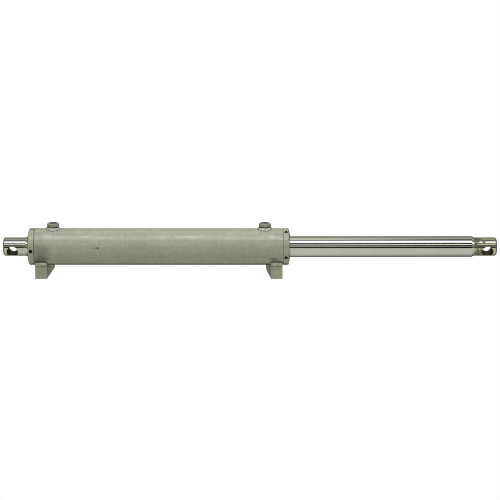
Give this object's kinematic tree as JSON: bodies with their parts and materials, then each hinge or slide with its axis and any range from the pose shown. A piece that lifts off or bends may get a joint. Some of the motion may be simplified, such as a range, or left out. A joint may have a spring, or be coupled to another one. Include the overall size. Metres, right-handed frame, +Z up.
{
  "type": "hydraulic cylinder",
  "caption": "Double-acting hydraulic cylinder with a through rod, threaded glands, oil ports on top, welded mounting feet and cross-drilled stubs at the rod's ends.",
  "frame": {"origin": "on the base plane of the feet, under the middle of the rod, which stands at the right-hand end of its stroke", "axes": "+X along the rod to the right, +Z up towards the oil ports, +Y to the back"},
  "size_m": [1.078, 0.08, 0.1201],
  "materials": {
    "painted_steel": "sage grey-green enamel, slightly mottled and chipped",
    "chromed_rod": "ground and hard-chromed, the stubs plain and stained",
    "ductile_iron": "turned",
    "spring_steel": "phosphated",
    "bronze": "turned",
    "ptfe": "bronze-filled, satin",
    "phenolic": "cloth-filled, matt",
    "rubber": "moulded nitrile",
    "polyurethane": "moulded"
  },
  "bodies": {
    "barrel": {"barrel_tube": "painted_steel", "left_port_boss": "painted_steel", "right_port_boss": "painted_steel", "left_mounting_foot": "painted_steel", "right_mounting_foot": "painted_steel", "left_gland": "painted_steel", "right_gland": "painted_steel", "left_rod_wiper": "rubber", "right_rod_wiper": "rubber", "left_rod_seal": "polyurethane", "right_rod_seal": "polyurethane", "left_rod_bearing": "bronze", "right_rod_bearing": "bronze", "left_gland_o_ring": "rubber", "right_gland_o_ring": "rubber", "left_gland_backup_ring": "ptfe", "right_gland_backup_ring": "ptfe"},
    "piston_rings": {"piston_seal_ring": "ptfe", "piston_seal_energizer": "rubber", "left_piston_wear_ring": "phenolic", "right_piston_wear_ring": "phenolic"},
    "rod": {"rod": "chromed_rod", "piston": "ductile_iron", "piston_o_ring": "rubber", "left_piston_snap_ring": "spring_steel", "right_piston_snap_ring": "spring_steel"}
  },
  "joints": [
    {"name": "rod_stroke", "type": "slide", "parent": "barrel", "child": "piston_rings", "axis": [1, 0, 0], "range_m": [-0.398, 0]},
    {"name": "rod_turn", "type": "hinge", "parent": "piston_rings", "child": "rod", "pos_m": [0, 0, 0.0675], "axis": [1, 0, 0], "continuous": true}
  ]
}
